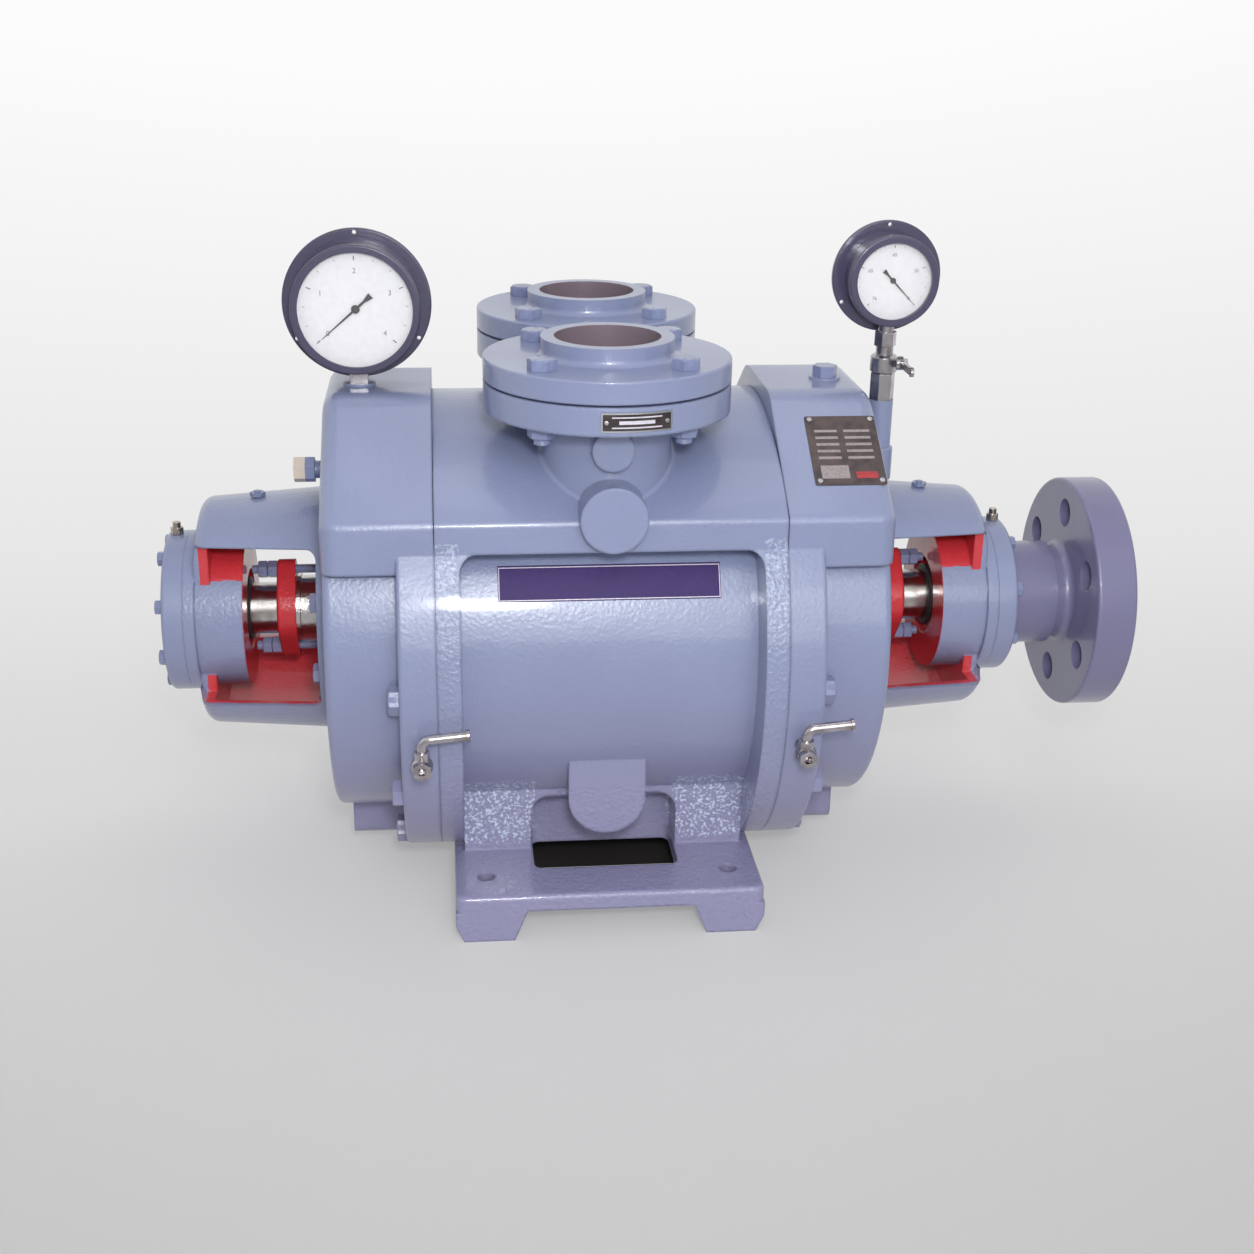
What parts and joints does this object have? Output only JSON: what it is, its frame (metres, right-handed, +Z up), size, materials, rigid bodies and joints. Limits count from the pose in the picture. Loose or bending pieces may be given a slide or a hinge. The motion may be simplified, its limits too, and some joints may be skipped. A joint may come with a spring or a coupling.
{
  "type": "liquid ring vacuum pump",
  "caption": "Double-ended liquid ring vacuum pump with an eccentric casing, flanged top ports, bearing brackets, gauges, drain cocks and a coupling half on its shaft.",
  "frame": {"origin": "centre of the four foundation bolt holes, on the floor under the feet", "axes": "+Z up, +X along the shaft to the coupling, the gauge dials face -Y"},
  "size_m": [1.241, 0.6306, 0.833],
  "materials": {
    "casting_enamel": "gloss blue-grey enamel over rough casting",
    "enamelled_steel": "gloss blue-grey enamel",
    "red_primer_gland": "gloss red enamel",
    "machined_iron": "machined, bare",
    "rotor_bronze": "cast, bare",
    "shaft_steel": "ground",
    "rubber_seal": "moulded",
    "packing_fibre": "greased plait",
    "gauge_case_black": "satin dark slate",
    "dial_white": "printed white",
    "pointer_black": "satin black",
    "gauge_glass": "clear",
    "cock_nickel": "nickel plated",
    "label_purple": "printed purple",
    "plate_etched": "etched",
    "zinc_screw": "zinc plated"
  },
  "bodies": {
    "stator": {"centre_casing": "casting_enamel", "side_housing_left": "casting_enamel", "side_housing_right": "casting_enamel", "bearing_bracket_left": "casting_enamel", "bearing_bracket_right": "casting_enamel", "bearing_cover_left": "casting_enamel", "bearing_cover_right": "casting_enamel", "companion_flange_front": "casting_enamel", "companion_flange_rear": "casting_enamel", "joint_bolts": "enamelled_steel", "bracket_bolts": "enamelled_steel", "cover_bolts": "enamelled_steel", "port_flange_bolts": "enamelled_steel", "passage_plug": "enamelled_steel", "riser_pipe": "enamelled_steel", "grease_nipples": "enamelled_steel", "gland_studs": "enamelled_steel", "gland_left": "red_primer_gland", "gland_right": "red_primer_gland", "port_plate_left": "machined_iron", "port_plate_right": "machined_iron", "lantern_rings": "rotor_bronze", "bearing_outer_rings": "shaft_steel", "bearing_rollers": "shaft_steel", "joint_gaskets": "rubber_seal", "port_gaskets": "rubber_seal", "packing_rings": "packing_fibre", "gauge_case_left": "gauge_case_black", "gauge_case_right": "gauge_case_black", "gauge_bezel_left": "gauge_case_black", "gauge_bezel_right": "gauge_case_black", "gauge_dial_left": "dial_white", "gauge_dial_right": "dial_white", "gauge_glass_left": "gauge_glass", "gauge_glass_right": "gauge_glass", "gauge_stem_left": "cock_nickel", "gauge_stem_right": "cock_nickel", "valve_body": "cock_nickel", "riser_socket": "cock_nickel", "drain_cock_body_left": "cock_nickel", "drain_cock_body_right": "cock_nickel", "name_label": "label_purple", "rating_plate": "plate_etched", "casing_tag": "plate_etched", "plate_screws": "zinc_screw", "vent_plug": "cock_nickel"},
    "rotor": {"shaft": "shaft_steel", "impeller": "rotor_bronze", "shaft_sleeves": "shaft_steel", "thrower_rings": "rubber_seal", "bearing_inner_rings": "shaft_steel", "bearing_lock_nuts": "shaft_steel", "shaft_keys": "shaft_steel", "coupling_half": "casting_enamel"},
    "drain_handle_left": {"drain_cock_handle_left": "cock_nickel"},
    "drain_handle_right": {"drain_cock_handle_right": "cock_nickel"},
    "isolating_lever": {"valve_lever": "cock_nickel"},
    "pointer_left": {"gauge_pointer_left": "pointer_black"},
    "pointer_right": {"gauge_pointer_right": "pointer_black"}
  },
  "joints": [
    {"name": "rotor_spin", "type": "hinge", "parent": "stator", "child": "rotor", "pos_m": [0, 0, 0.335], "axis": [1, 0, 0], "continuous": true},
    {"name": "drain_handle_left_turn", "type": "hinge", "parent": "stator", "child": "drain_handle_left", "pos_m": [-0.226, -0.31562, 0.2532], "axis": [0, 0, 1], "range_deg": [-90, 0]},
    {"name": "drain_handle_right_turn", "type": "hinge", "parent": "stator", "child": "drain_handle_right", "pos_m": [0.226, -0.31562, 0.2532], "axis": [0, 0, 1], "range_deg": [-90, 0]},
    {"name": "isolating_lever_turn", "type": "hinge", "parent": "stator", "child": "isolating_lever", "pos_m": [0.384, -0.025, 0.657], "axis": [1, 0, 0], "range_deg": [0, 90]},
    {"name": "pointer_left_sweep", "type": "hinge", "parent": "stator", "child": "pointer_left", "pos_m": [-0.295, -0.045, 0.732], "axis": [0, 1, 0], "range_deg": [0, 270]},
    {"name": "pointer_right_sweep", "type": "hinge", "parent": "stator", "child": "pointer_right", "pos_m": [0.364, -0.045, 0.764], "axis": [0, 1, 0], "range_deg": [-270, 0]}
  ]
}
